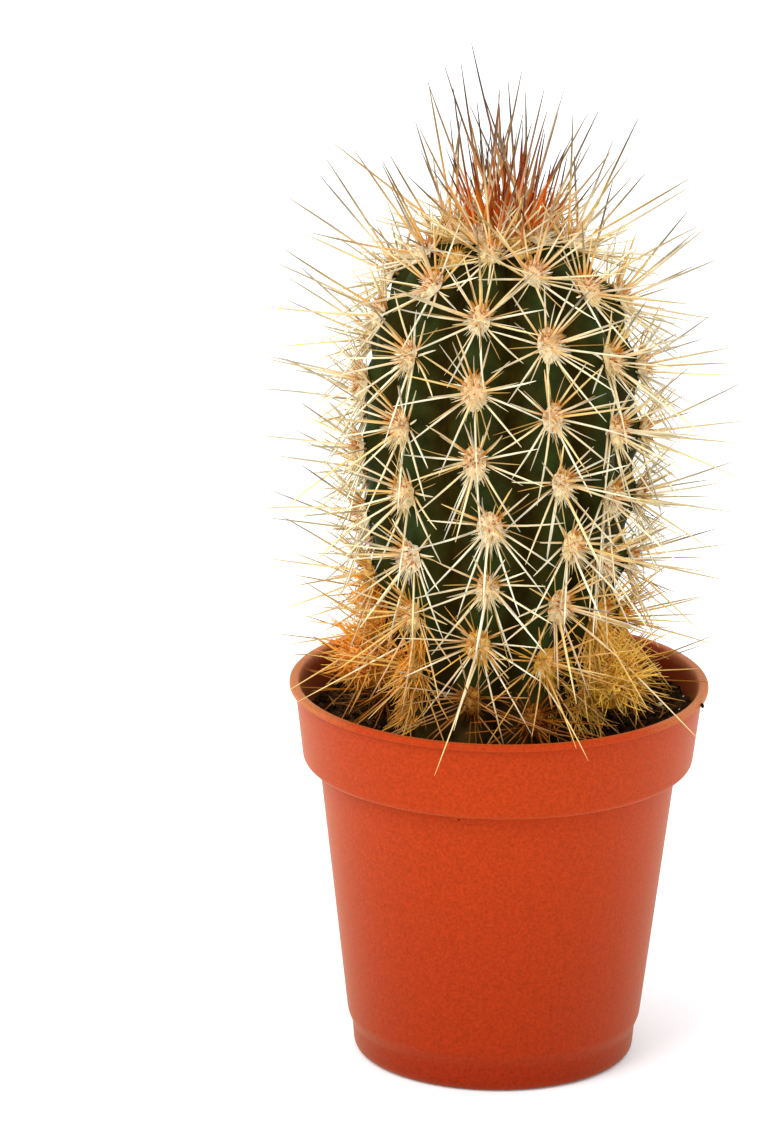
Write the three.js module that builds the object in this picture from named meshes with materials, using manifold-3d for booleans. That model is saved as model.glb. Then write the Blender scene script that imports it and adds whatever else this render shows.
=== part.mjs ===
// A young columnar cactus in a small terracotta-coloured plastic pot.
// Millimetres, +Z up. The origin is the centre of the flat base that the pot stands on.
// Three pieces: the moulded pot, the soil that fills it, and the plant, which is one growth: a ribbed stem
// with its root, two small offsets at its base, and the spines that grow from them.
// An azimuth is in degrees, 0 at the front (-Y) and 90 at the right (+X).
import * as THREE from "three";
import { mergeVertices } from "three/addons/utils/BufferGeometryUtils.js";
import Module from "manifold-3d";

const wasm = await Module();
wasm.setup();

// Pot: a thin-walled 5.5 cm nursery pot with a collar below its lip and a stepped foot.
const RIM_RADIUS = 27.5;
const POT_HEIGHT = 50.8;
const WALL = 0.9;
const LIP_HEIGHT = 0.85;
const COLLAR_TOP_RADIUS = 26.75;
const COLLAR_LOW_RADIUS = 25.6;
const COLLAR_LOW_Z = 41.0;
const BODY_TOP_RADIUS = 23.5;
const BODY_TOP_Z = 40.0;
const LEDGE_RISE = 0.6;
const LIP_FLARE_HEIGHT = 1.2;
const BODY_LOW_RADIUS = 19.35;
const BODY_LOW_Z = 5.3;
const FOOT_RADIUS = 18.7;
const FOOT_TOP_Z = 3.6;
const BASE_RADIUS = 17.4;
const FLOOR_TOP_Z = 1.1;
const FLOOR_BEVEL = 0.8;
const POT_SIDES = 52;
const DRAIN_HOLES = 6;
const DRAIN_HOLE_RADIUS = 2.2;
const DRAIN_HOLE_CIRCLE = 12.5;
const DRAIN_HOLE_SIDES = 16;

// Soil
const SOIL_Z = 45.5;
const SOIL_RELIEF = 0.35;
const SOIL_BANK = 2.2;
const SOIL_SIDES = 44;
const GAP = 0.3;

// Stem: radius at the rib crests, from the soil to the tip
const STEM_WIDE_RADIUS = 18.0;
const STEM_WIDE_Z = 86.0;
const STEM_TOP_Z = 112.0;
const STEM_SOIL_RADIUS = 14.6;
const DOME_POWER = 2.4;
const STEM_LEAN_X = -0.45;
const ROOT_TIP_Z = 14.0;
const ROOT_TIP_RADIUS = 1.2;
const ROOT_TAPER_POWER = 2.2;
const ROOT_ROWS = 5;
const RIB_FADE_DEPTH = 6;

// Ribs
const RIBS = 11;
const FIRST_RIB_AZIMUTH = -10.9;
const FURROW_DEPTH = 2.7;
const FURROW_POWER = 1.6;
const TUBERCLE_HEIGHT = 1.1;
const RIB_SWAY = [9, 11, -3, 3, 0, -3, 2, 5, 3, -1, 4];
const SWAY_TOP_Z = 90;
const SWAY_PEAK_Z = 73;
const SWAY_ZERO_Z = 55;
const COLUMNS_PER_RIB = 4;
const ROW_STEP = 3.6;

// Areoles, the felt pads that spines grow from, stand on the crests in a spiral.
const AREOLE_FIRST = 8.1;
const AREOLE_PITCH = 9.8;
const AREOLE_CLOSING = 0.15;
const SPIRAL_STEP = 4;
const LAST_AREOLE_Z = 49.5;
const CROWN_CLEAR = 1.6;

// Spines
const RADIALS = 12;
const RADIAL_UP_LENGTH = 7.0;
const RADIAL_DOWN_LENGTH = 10.2;
const LOW_EXTRA_LENGTH = 0.35;
const LOW_FROM_Z = 66;
const CENTRALS = 4;
const CENTRAL_TURNS = [0, 64, 296, 180];
const CENTRAL_OLD_LENGTH = 13.5;
const CENTRAL_YOUNG_LENGTH = 18.5;
const CROWN_LENGTH = 24.5;
const CROWN_REACH = 8.5;
const YOUNG_REACH = 30.0;
const SPINE_RADIUS = 0.26;
const SPINE_SUNK = 1.1;
const ROOT_SPREAD = 1.45;
const SPINE_SIDES = 3;
const KEPT_RADIALS = 5;
const KEPT_CENTRALS = 2;
const SOIL_CLEARANCE = 0.9;

// Long low spines that lean out over the rim, from root to tip
const STRAYS = [
  [[-3.0, -15.8, 58.0], [-8.0, -32.3, 48.4]],
  [[5.4, -14.5, 55.6], [11.6, -31.0, 50.9]],
  [[14.0, -7.4, 58.0], [26.4, -18.6, 49.1]],
  [[-11.4, -10.6, 59.5], [-26.0, -14.2, 51.9]],
];

// Offsets, the small shoots at the base
const OFFSETS = [
  { azimuth: -77, out: 17.0, z: 54.2, radius: 3.5 },
  { azimuth: 60, out: 16.6, z: 53.2, radius: 3.3 },
];
const OFFSET_RIBS = 7;
const OFFSET_ROWS = 3;
const OFFSET_SPINES = 8;
const OFFSET_SPINE_LENGTH = 5.0;
const OFFSET_ROOT_SPREAD = 0.7;
const OFFSET_KEPT_STEP = 8;

const COLOURS = { pot: 0xc8451f, soil: 0x2a1c14, cactus: 0x2f4a24 };

const rad = THREE.MathUtils.degToRad;
const { lerp, clamp } = THREE.MathUtils;

// Draws of a small seeded generator, each from 0 to 1.
function makeDraw(seed) {
  let state = seed >>> 0;
  return () => {
    state = (Math.imul(state, 1664525) + 1013904223) >>> 0;
    return state / 4294967296;
  };
}

function outward(azimuth) {
  return new THREE.Vector3(Math.sin(rad(azimuth)), -Math.cos(rad(azimuth)), 0);
}

function solidOf(geometry) {
  const bare = geometry.index ? geometry.toNonIndexed() : geometry.clone();
  bare.deleteAttribute("normal");
  bare.deleteAttribute("uv");
  const merged = mergeVertices(bare, 1e-4);
  const mesh = new wasm.Mesh({
    numProp: 3,
    vertProperties: new Float32Array(merged.attributes.position.array),
    triVerts: new Uint32Array(merged.index.array),
  });
  return new wasm.Manifold(mesh);
}

function geometryOf(solid) {
  const mesh = solid.getMesh();
  const geometry = new THREE.BufferGeometry();
  geometry.setAttribute("position", new THREE.BufferAttribute(mesh.vertProperties, 3));
  geometry.setIndex(new THREE.BufferAttribute(mesh.triVerts, 1));
  geometry.computeVertexNormals();
  return geometry;
}

// Joins solids pairwise, so that each join stays small.
function joined(solids) {
  let left = solids;
  while (left.length > 1) {
    const next = [];
    for (let i = 0; i < left.length; i += 2) {
      next.push(i + 1 < left.length ? left[i].add(left[i + 1]) : left[i]);
    }
    left = next;
  }
  return left[0];
}

// A closed surface through rings of as many points each, from a lower pole to an upper pole.
function ringGeometry(rings, lowPole, highPole) {
  const sides = rings[0].length;
  const points = [lowPole, ...rings.flat(), highPole];
  const faces = [];
  const last = points.length - 1;
  for (let i = 0; i < sides; i += 1) {
    const next = (i + 1) % sides;
    faces.push(0, 1 + next, 1 + i);
    for (let ring = 0; ring + 1 < rings.length; ring += 1) {
      const low = 1 + ring * sides;
      const high = low + sides;
      faces.push(low + i, low + next, high + next);
      faces.push(low + i, high + next, high + i);
    }
    faces.push(last, last - sides + i, last - sides + next);
  }
  const geometry = new THREE.BufferGeometry().setFromPoints(points);
  geometry.setIndex(faces);
  geometry.computeVertexNormals();
  return geometry;
}

// The pot's cross-section, from the axis under the floor round the outside and in to the axis again.
function potProfile() {
  const path = new THREE.Path();
  path.moveTo(0, 0);
  path.lineTo(BASE_RADIUS, 0);
  path.quadraticCurveTo(FOOT_RADIUS - 0.3, 0.1, FOOT_RADIUS - 0.25, 1.3);
  path.lineTo(FOOT_RADIUS, FOOT_TOP_Z);
  path.lineTo(BODY_LOW_RADIUS, BODY_LOW_Z);
  path.lineTo(BODY_TOP_RADIUS, BODY_TOP_Z);
  path.quadraticCurveTo(COLLAR_LOW_RADIUS, BODY_TOP_Z + 0.1, COLLAR_LOW_RADIUS, COLLAR_LOW_Z);
  path.lineTo(COLLAR_TOP_RADIUS, POT_HEIGHT - LIP_HEIGHT);
  path.lineTo(RIM_RADIUS - 0.1, POT_HEIGHT - LIP_HEIGHT + 0.05);
  path.quadraticCurveTo(RIM_RADIUS + 0.1, POT_HEIGHT, RIM_RADIUS - 0.4, POT_HEIGHT);
  path.lineTo(COLLAR_TOP_RADIUS - 0.1, POT_HEIGHT);
  const throat = POT_HEIGHT - LIP_FLARE_HEIGHT;
  path.quadraticCurveTo(COLLAR_TOP_RADIUS - 0.6, POT_HEIGHT, COLLAR_TOP_RADIUS - WALL, throat);
  path.lineTo(COLLAR_LOW_RADIUS - WALL, COLLAR_LOW_Z + LEDGE_RISE);
  path.lineTo(BODY_TOP_RADIUS - WALL, BODY_TOP_Z + LEDGE_RISE);
  path.lineTo(BODY_LOW_RADIUS - WALL, BODY_LOW_Z);
  path.lineTo(FOOT_RADIUS - WALL, FOOT_TOP_Z);
  path.lineTo(FOOT_RADIUS - WALL - FLOOR_BEVEL, FLOOR_TOP_Z);
  path.lineTo(0, FLOOR_TOP_Z);
  return path.getPoints(2);
}

// The pot's inner radius at a height.
function potInside(z) {
  const stretches = [
    [FLOOR_TOP_Z, FOOT_RADIUS - WALL - FLOOR_BEVEL],
    [FOOT_TOP_Z, FOOT_RADIUS - WALL],
    [BODY_LOW_Z, BODY_LOW_RADIUS - WALL],
    [BODY_TOP_Z + LEDGE_RISE, BODY_TOP_RADIUS - WALL],
    [COLLAR_LOW_Z + LEDGE_RISE, COLLAR_LOW_RADIUS - WALL],
    [POT_HEIGHT - LIP_FLARE_HEIGHT, COLLAR_TOP_RADIUS - WALL],
  ];
  const high = stretches.findIndex(([height]) => height >= z);
  if (high <= 0) return stretches[high < 0 ? stretches.length - 1 : 0][1];
  const [lowZ, lowRadius] = stretches[high - 1];
  const [highZ, highRadius] = stretches[high];
  return lerp(lowRadius, highRadius, (z - lowZ) / (highZ - lowZ));
}

function makePot() {
  const turned = new THREE.LatheGeometry(potProfile(), POT_SIDES).rotateX(Math.PI / 2);
  let solid = solidOf(turned);
  for (let i = 0; i < DRAIN_HOLES; i += 1) {
    const azimuth = (360 * (i + 0.5)) / DRAIN_HOLES;
    const centre = outward(azimuth).multiplyScalar(DRAIN_HOLE_CIRCLE);
    const height = 4 * FLOOR_TOP_Z;
    const hole = new THREE.CylinderGeometry(DRAIN_HOLE_RADIUS, DRAIN_HOLE_RADIUS, height, DRAIN_HOLE_SIDES);
    hole.rotateX(Math.PI / 2);
    hole.translate(centre.x, centre.y, 0);
    solid = solid.subtract(solidOf(hole));
  }
  return geometryOf(solid);
}

// The soil's height: low hummocks, banked up a little towards the wall on the right.
function soilTop(x, y) {
  const hummocks = Math.sin(0.55 * x + 1) * Math.cos(0.47 * y) + 0.6 * Math.sin(0.9 * y - 0.3 * x);
  const bank = clamp((x - 14) / 11, 0, 1);
  return SOIL_Z + SOIL_RELIEF * hummocks + SOIL_BANK * bank;
}

function makeSoil() {
  const azimuths = [...Array(SOIL_SIDES).keys()].map((i) => (360 * i) / SOIL_SIDES);
  const ringAt = (radius, height, shift = 0) =>
    azimuths.map((azimuth) => {
      const point = outward(azimuth).multiplyScalar(radius);
      point.x += shift;
      return point.setZ(height === null ? soilTop(point.x, point.y) : height);
    });
  const wall = (z, rise = 0) => ringAt(potInside(z) - GAP, z + rise);
  const bottom = FLOOR_TOP_Z + GAP;
  const holeRadius = STEM_SOIL_RADIUS + 2 * GAP;
  const rootHole = (z) => ringAt(rootRadius(z) + 1.2 * GAP, z, STEM_LEAN_X);
  const rings = [
    ringAt(potInside(bottom) - GAP, bottom),
    wall(FOOT_TOP_Z),
    wall(BODY_LOW_Z),
    wall(BODY_TOP_Z + LEDGE_RISE, GAP),
    wall(COLLAR_LOW_Z + LEDGE_RISE, GAP),
    ringAt(potInside(SOIL_Z) - GAP, null),
    ringAt(22.3, null),
    ringAt(20, null),
    ringAt(17.8, null),
    ringAt(holeRadius, null, STEM_LEAN_X),
    rootHole(41),
    rootHole(35),
    rootHole(26),
    rootHole(ROOT_TIP_Z - GAP),
  ];
  const lowPole = new THREE.Vector3(0, 0, bottom);
  const highPole = new THREE.Vector3(STEM_LEAN_X, 0, ROOT_TIP_Z - GAP);
  return ringGeometry(rings, lowPole, highPole);
}

// The root's radius below the soil: it narrows quickly under the stem and then slowly to its tip.
function rootRadius(z) {
  const depth = clamp((SOIL_Z - z) / (SOIL_Z - ROOT_TIP_Z), 0, 1);
  return ROOT_TIP_RADIUS + (STEM_SOIL_RADIUS - ROOT_TIP_RADIUS) * (1 - depth) ** ROOT_TAPER_POWER;
}

// The stem's outline at the crests as points from the tip down, with their distance s along the skin.
function makeMeridian() {
  const points = [];
  const domeSteps = 80;
  for (let i = 0; i <= domeSteps; i += 1) {
    const turn = ((Math.PI / 2) * i) / domeSteps;
    const radius = STEM_WIDE_RADIUS * Math.sin(turn) ** (2 / DOME_POWER);
    const height = (STEM_TOP_Z - STEM_WIDE_Z) * Math.cos(turn) ** (2 / DOME_POWER);
    points.push({ radius, z: STEM_WIDE_Z + height });
  }
  for (let z = STEM_WIDE_Z - 0.5; z > ROOT_TIP_Z; z -= 0.5) {
    const share = THREE.MathUtils.smoothstep(z, SOIL_Z, STEM_WIDE_Z);
    const above = lerp(STEM_SOIL_RADIUS, STEM_WIDE_RADIUS, share);
    points.push({ radius: z > SOIL_Z ? above : rootRadius(z), z });
  }
  points[0].s = 0;
  for (let i = 1; i < points.length; i += 1) {
    const step = Math.hypot(points[i].radius - points[i - 1].radius, points[i].z - points[i - 1].z);
    points[i].s = points[i - 1].s + step;
  }
  return points;
}

const MERIDIAN = makeMeridian();

// Radius, height and outward slope of the crest outline at a distance s from the tip.
function crestAt(s) {
  let high = MERIDIAN.findIndex((point) => point.s >= s);
  if (high < 1) high = high < 0 ? MERIDIAN.length - 1 : 1;
  const a = MERIDIAN[high - 1];
  const b = MERIDIAN[high];
  const share = (s - a.s) / (b.s - a.s);
  const length = Math.hypot(b.radius - a.radius, b.z - a.z);
  return {
    radius: lerp(a.radius, b.radius, share),
    z: lerp(a.z, b.z, share),
    outSlope: (a.z - b.z) / length,
    upSlope: (b.radius - a.radius) / length,
  };
}

// The ribs sway to one side about half way up, each by its own amount.
function crestAzimuth(rib, z) {
  let sway = 0;
  if (z < SWAY_TOP_Z && z >= SWAY_PEAK_Z) {
    const share = (SWAY_TOP_Z - z) / (SWAY_TOP_Z - SWAY_PEAK_Z);
    sway = share * share * (3 - 2 * share);
  } else if (z < SWAY_PEAK_Z) {
    sway = Math.max((z - SWAY_ZERO_Z) / (SWAY_PEAK_Z - SWAY_ZERO_Z), -0.4);
  }
  const turns = Math.floor(rib / RIBS);
  const index = rib - turns * RIBS;
  return FIRST_RIB_AZIMUTH + (360 * rib) / RIBS + RIB_SWAY[index] * sway;
}

// The number of an areole on its rib, as a real number that is whole at each areole.
function areoleCount(rib, s) {
  const start = ((SPIRAL_STEP * rib) % RIBS) / RIBS;
  const root = AREOLE_PITCH ** 2 - 4 * AREOLE_CLOSING * (s - AREOLE_FIRST);
  return (AREOLE_PITCH - Math.sqrt(Math.max(root, 0))) / (2 * AREOLE_CLOSING) - start;
}

function areoleDistance(rib, number) {
  const count = number + ((SPIRAL_STEP * rib) % RIBS) / RIBS;
  return AREOLE_FIRST + AREOLE_PITCH * count - AREOLE_CLOSING * count * count;
}

// A point of the stem's skin: share runs from 0 at the crest of a rib to 1 at the crest of the next.
function skinPoint(rib, share, s) {
  const crest = crestAt(s);
  const azimuth = lerp(crestAzimuth(rib, crest.z), crestAzimuth(rib + 1, crest.z), share);
  const fromCrest = 1 - Math.abs(1 - 2 * share);
  const buried = clamp((crest.z - SOIL_Z + RIB_FADE_DEPTH) / RIB_FADE_DEPTH, 0, 1);
  const depth = FURROW_DEPTH * Math.min(1, crest.radius / 14) * buried;
  const nearest = (share > 0.5 ? rib + 1 : rib) % RIBS;
  const wave = 0.5 + 0.5 * Math.cos(2 * Math.PI * areoleCount(nearest, s));
  const bare = clamp((crest.z - SOIL_Z - 0.5) / 3, 0, 1);
  const bulge = TUBERCLE_HEIGHT * (wave - 0.5) * (1 - fromCrest) * Math.min(1, crest.radius / 10) * bare;
  const inward = depth * fromCrest ** FURROW_POWER - bulge;
  const point = outward(azimuth).multiplyScalar(crest.radius - inward * crest.outSlope);
  point.x += STEM_LEAN_X;
  return point.setZ(crest.z - inward * crest.upSlope);
}

function makeStem() {
  const rings = [];
  const end = MERIDIAN[MERIDIAN.length - 1].s;
  const soilDistance = MERIDIAN.find((point) => point.z <= SOIL_Z).s;
  const distances = [];
  for (let s = ROW_STEP / 2; s < soilDistance + 1; s += ROW_STEP) distances.push(s);
  for (let i = 1; i <= ROOT_ROWS; i += 1) {
    distances.push(lerp(soilDistance + 2, end - 0.5, (i / ROOT_ROWS) ** 1.3));
  }
  for (const s of distances.reverse()) {
    const ring = [];
    for (let rib = 0; rib < RIBS; rib += 1) {
      for (let i = 0; i < COLUMNS_PER_RIB; i += 1) ring.push(skinPoint(rib, i / COLUMNS_PER_RIB, s));
    }
    rings.push(ring);
  }
  const lowPole = new THREE.Vector3(STEM_LEAN_X, 0, ROOT_TIP_Z);
  const highPole = new THREE.Vector3(STEM_LEAN_X, 0, STEM_TOP_Z - 0.3);
  return solidOf(ringGeometry(rings, lowPole, highPole));
}

// The areoles of the stem: place, the skin's normal, the way up along the rib, distance from the tip.
function stemAreoles() {
  const found = [];
  for (let rib = 0; rib < RIBS; rib += 1) {
    for (let number = -1; number < 12; number += 1) {
      const s = areoleDistance(rib, number);
      const crest = crestAt(Math.max(s, 0));
      if (s < CROWN_CLEAR || crest.z < LAST_AREOLE_Z) continue;
      const out = outward(crestAzimuth(rib, crest.z));
      const normal = out.clone().multiplyScalar(crest.outSlope).setZ(crest.upSlope);
      const up = out.clone().multiplyScalar(-crest.upSlope).setZ(crest.outSlope);
      found.push({ place: skinPoint(rib, 0, s), normal, up, s, seed: 1000 + 37 * rib + 101 * (number + 2) });
    }
  }
  return found;
}

// A direction from a normal and an up: turn goes round from up, lift rises from the skin to the normal.
function fanned({ normal, up }, turn, lift) {
  const side = up.clone().cross(normal);
  return new THREE.Vector3()
    .addScaledVector(up, Math.cos(rad(turn)) * Math.cos(rad(lift)))
    .addScaledVector(side, Math.sin(rad(turn)) * Math.cos(rad(lift)))
    .addScaledVector(normal, Math.sin(rad(lift)));
}

// Spines of one stem areole. The radials fan out low round the pad; the centrals stand out from its middle
// and are long and upright near the tip.
function spinesOf(areole) {
  const draw = makeDraw(areole.seed);
  const young = clamp(1 - areole.s / YOUNG_REACH, 0, 1);
  const crown = clamp(1 - areole.s / CROWN_REACH, 0, 1);
  const low = clamp((LOW_FROM_Z - areole.place.z) / 10, 0, 1);
  const spines = [];
  for (let i = 0; i < RADIALS; i += 1) {
    const turn = (360 * (i + 0.5)) / RADIALS + 16 * (draw() - 0.5);
    const down = (1 - Math.cos(rad(turn))) / 2;
    const grown = lerp(RADIAL_UP_LENGTH, RADIAL_DOWN_LENGTH, down ** 0.6) * (0.85 + 0.3 * draw());
    const lift = lerp(36, 24, down) + 16 * (draw() - 0.5) + 22 * crown;
    const length = grown * (1 - 0.25 * crown + LOW_EXTRA_LENGTH * low * down);
    spines.push({ kind: "radial", index: i, turn, lift, length, radius: SPINE_RADIUS, spread: ROOT_SPREAD });
  }
  for (let i = 0; i < CENTRALS; i += 1) {
    const turn = CENTRAL_TURNS[i] + 40 * (draw() - 0.5);
    const open = 46 + 34 * draw();
    const lift = open + (84 - open) * 0.6 * crown;
    const grown = lerp(CENTRAL_OLD_LENGTH, CENTRAL_YOUNG_LENGTH, young) * (0.75 + 0.4 * draw());
    const length = lerp(grown, CROWN_LENGTH * (0.55 + 0.6 * draw()), crown);
    const spread = 0.35 * ROOT_SPREAD;
    spines.push({ kind: "central", index: i, turn, lift, length, radius: 1.15 * SPINE_RADIUS, spread });
  }
  return spines.map((spine) => {
    const direction = fanned(areole, spine.turn, spine.lift);
    const root = areole.place.clone().addScaledVector(fanned(areole, spine.turn, 0), spine.spread);
    const fall = lerp(0.1, 0.25, Math.sin(rad(spine.turn)) ** 2) * spine.spread ** 2;
    root.addScaledVector(areole.normal, -fall);
    return { ...spine, root, direction };
  });
}

function strays() {
  return STRAYS.map(([start, end]) => {
    const root = new THREE.Vector3(...start);
    const reach = new THREE.Vector3(...end).sub(root);
    const length = reach.length();
    return { root, direction: reach.normalize(), length, radius: SPINE_RADIUS };
  });
}

// Whether a point comes too near the soil or the pot's wall.
function blocked(point) {
  const radius = Math.hypot(point.x, point.y);
  if (radius > RIM_RADIUS + SOIL_CLEARANCE) return false;
  if (radius > potInside(POT_HEIGHT) - SOIL_CLEARANCE) return point.z < POT_HEIGHT + 0.7 * SOIL_CLEARANCE;
  return point.z < soilTop(point.x, point.y) + SOIL_CLEARANCE;
}

// The same spine, bent upwards and at last shortened until it is clear of soil and pot.
function cleared(spine) {
  const direction = spine.direction.clone();
  let length = spine.length;
  for (let attempt = 0; attempt < 40; attempt += 1) {
    const marks = [0.35, 0.5, 0.65, 0.8, 0.9, 1];
    const at = (share) => spine.root.clone().addScaledVector(direction, share * length);
    const hit = marks.some((share) => blocked(at(share)));
    if (!hit) return { ...spine, direction, length };
    direction.setZ(direction.z + 0.07).normalize();
    if (attempt > 14) length *= 0.93;
  }
  return null;
}

function needleSolid({ root, direction, length, radius }) {
  const cone = new THREE.ConeGeometry(radius, length + SPINE_SUNK, SPINE_SIDES);
  cone.translate(0, (length + SPINE_SUNK) / 2 - SPINE_SUNK, 0);
  cone.applyQuaternion(new THREE.Quaternion().setFromUnitVectors(new THREE.Vector3(0, 1, 0), direction));
  cone.translate(root.x, root.y, root.z);
  return solidOf(cone);
}

// One offset: a small ball on the stem's flank with rows of areoles, each with a few short spines.
function makeOffset(offset, number) {
  const centre = outward(offset.azimuth).multiplyScalar(offset.out).setZ(offset.z);
  const ball = new THREE.SphereGeometry(offset.radius, 2 * OFFSET_RIBS, 6).rotateX(Math.PI / 2);
  ball.translate(centre.x, centre.y, centre.z);
  const spines = [];
  for (let row = 0; row < OFFSET_ROWS; row += 1) {
    for (let rib = 0; rib < OFFSET_RIBS; rib += 1) {
      const draw = makeDraw(5000 + 700 * number + 41 * row + 13 * rib);
      const height = 74 - 34 * row + 6 * (draw() - 0.5);
      const azimuth = offset.azimuth + (360 * (rib + 0.5 * (row % 2))) / OFFSET_RIBS;
      const normal = outward(azimuth).multiplyScalar(Math.cos(rad(height))).setZ(Math.sin(rad(height)));
      const up = outward(azimuth).multiplyScalar(-Math.sin(rad(height))).setZ(Math.cos(rad(height)));
      const place = centre.clone().addScaledVector(normal, offset.radius - 0.1);
      for (let i = 0; i < OFFSET_SPINES; i += 1) {
        const turn = (360 * (i + draw())) / OFFSET_SPINES;
        const lift = 30 + 45 * draw();
        const length = OFFSET_SPINE_LENGTH * (0.6 + 0.5 * draw());
        const direction = fanned({ normal, up }, turn, lift);
        const root = place.clone().addScaledVector(fanned({ normal, up }, turn, 0), OFFSET_ROOT_SPREAD);
        const kept = (i + 3 * row + rib) % OFFSET_KEPT_STEP === 0;
        spines.push({ kept, root, direction, length, radius: 0.8 * SPINE_RADIUS });
      }
    }
  }
  return { ball: solidOf(ball), spines };
}

// The plant: stem, offsets and the kept share of the spines, joined in one solid.
function makeCactus() {
  const areoles = stemAreoles();
  const solids = [makeStem()];
  const spines = strays();
  for (const areole of areoles) {
    const kept = spinesOf(areole).filter((spine) =>
      spine.kind === "radial"
        ? (KEPT_RADIALS * (spine.index + areole.seed)) % RADIALS < KEPT_RADIALS
        : spine.index < KEPT_CENTRALS || areole.s < CROWN_REACH,
    );
    spines.push(...kept);
  }
  OFFSETS.forEach((offset, number) => {
    const made = makeOffset(offset, number);
    solids.push(made.ball);
    spines.push(...made.spines.filter((spine) => spine.kept));
  });
  for (const spine of spines) {
    const clear = cleared(spine);
    if (clear) solids.push(needleSolid(clear));
  }
  // Crossing spines can close a pocket; the outer surface alone is the body with the most volume.
  const bodies = joined(solids).decompose();
  return geometryOf(bodies.reduce((most, body) => (body.volume() > most.volume() ? body : most)));
}

function piece(name, geometry, roughness) {
  const material = new THREE.MeshStandardMaterial({ color: COLOURS[name], roughness, metalness: 0 });
  const mesh = new THREE.Mesh(geometry, material);
  mesh.name = name;
  return mesh;
}

const pottedCactus = new THREE.Group();
pottedCactus.add(piece("pot", makePot(), 0.5));
pottedCactus.add(piece("soil", makeSoil(), 1.0));
pottedCactus.add(piece("cactus", makeCactus(), 0.7));

export default pottedCactus;
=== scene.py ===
"""A young columnar cactus in a small terracotta-coloured nursery pot, on a white surface."""
import itertools
from collections import namedtuple
from math import atan, cos, hypot, radians, sin, sqrt

import bpy
import numpy as np
from mathutils import Matrix, Vector, noise
from numpy.random import default_rng


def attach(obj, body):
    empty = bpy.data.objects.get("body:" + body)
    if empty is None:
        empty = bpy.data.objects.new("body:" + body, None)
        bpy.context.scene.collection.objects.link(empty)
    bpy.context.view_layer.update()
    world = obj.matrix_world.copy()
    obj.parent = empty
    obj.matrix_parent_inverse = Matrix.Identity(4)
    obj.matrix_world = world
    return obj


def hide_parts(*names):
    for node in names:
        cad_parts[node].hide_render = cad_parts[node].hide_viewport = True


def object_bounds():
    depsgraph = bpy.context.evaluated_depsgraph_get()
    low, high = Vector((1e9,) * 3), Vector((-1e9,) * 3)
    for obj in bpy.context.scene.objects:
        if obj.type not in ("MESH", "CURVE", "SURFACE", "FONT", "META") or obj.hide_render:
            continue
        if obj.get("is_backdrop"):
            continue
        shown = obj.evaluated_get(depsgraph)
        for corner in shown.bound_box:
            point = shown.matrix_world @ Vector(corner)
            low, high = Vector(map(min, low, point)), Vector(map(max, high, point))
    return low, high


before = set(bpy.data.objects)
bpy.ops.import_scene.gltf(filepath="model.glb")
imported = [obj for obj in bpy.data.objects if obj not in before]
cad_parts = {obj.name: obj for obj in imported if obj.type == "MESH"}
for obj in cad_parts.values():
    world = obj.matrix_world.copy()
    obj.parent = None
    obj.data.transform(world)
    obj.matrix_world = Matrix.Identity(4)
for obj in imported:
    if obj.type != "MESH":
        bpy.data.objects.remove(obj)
CAD_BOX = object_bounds()

# Sizes are in millimetres and become metres when a mesh is made. An azimuth is in degrees, 0 at the
# front (-Y) and 90 at the right (+X). The stem, its areoles and spines have the values of the solids.
MM = 0.001
UP = np.array([0, 0, 1.0])

# Pot
RIM_RADIUS = 27.5
POT_HEIGHT = 50.8
WALL = 0.9
LIP_HEIGHT = 0.85
LIP_FLARE_HEIGHT = 1.2
COLLAR_TOP_RADIUS = 26.75
COLLAR_LOW_RADIUS = 25.6
COLLAR_LOW_Z = 41.0
BODY_TOP_RADIUS = 23.5
BODY_TOP_Z = 40.0
LEDGE_RISE = 0.6
BODY_LOW_RADIUS = 19.35
BODY_LOW_Z = 5.3
FOOT_RADIUS = 18.7
FOOT_TOP_Z = 3.6
BASE_CORNER = 1.3
FLOOR_TOP_Z = 1.1
FLOOR_BEVEL = 0.8
POT_SIDES = 180
DRAIN_HOLES = 6
DRAIN_HOLE_RADIUS = 2.2
DRAIN_HOLE_CIRCLE = 12.5

# Soil
SOIL_Z = 45.5
SOIL_RELIEF = 0.35
SOIL_BANK = 2.2
GAP = 0.3
SOIL_SIDES = 260
SOIL_RINGS = 34
CRUMBS = 2600
STRAWS = 140
TAN_FROM = 0.965
PERLITE_FROM = 0.993

# Stem
STEM_WIDE_RADIUS = 18.0
STEM_WIDE_Z = 86.0
STEM_TOP_Z = 112.0
STEM_SOIL_RADIUS = 14.6
DOME_POWER = 2.4
STEM_LEAN_X = -0.45
STEM_LOW_Z = 41.0
STEM_MIDDLE_Z = 78
RIBS = 11
FIRST_RIB_AZIMUTH = -10.9
FURROW_DEPTH = 2.7
FURROW_POWER = 1.6
TUBERCLE_HEIGHT = 1.1
RIB_SWAY = np.array([9, 11, -3, 3, 0, -3, 2, 5, 3, -1, 4])
SWAY_TOP_Z = 90
SWAY_PEAK_Z = 73
SWAY_ZERO_Z = 55
RIB_FADE_DEPTH = 6
STEM_ROWS = 240
COLUMNS_PER_RIB = 20

# Areoles and their felt pads
AREOLE_FIRST = 8.1
AREOLE_PITCH = 9.8
AREOLE_CLOSING = 0.15
SPIRAL_STEP = 4
LAST_AREOLE_Z = 49.5
CROWN_CLEAR = 1.6
PAD_ACROSS = 1.5
PAD_ALONG = 2.2
PAD_HEIGHT = 1.0
PAD_HAIRS = 100
PAD_STUBS = 26

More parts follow.
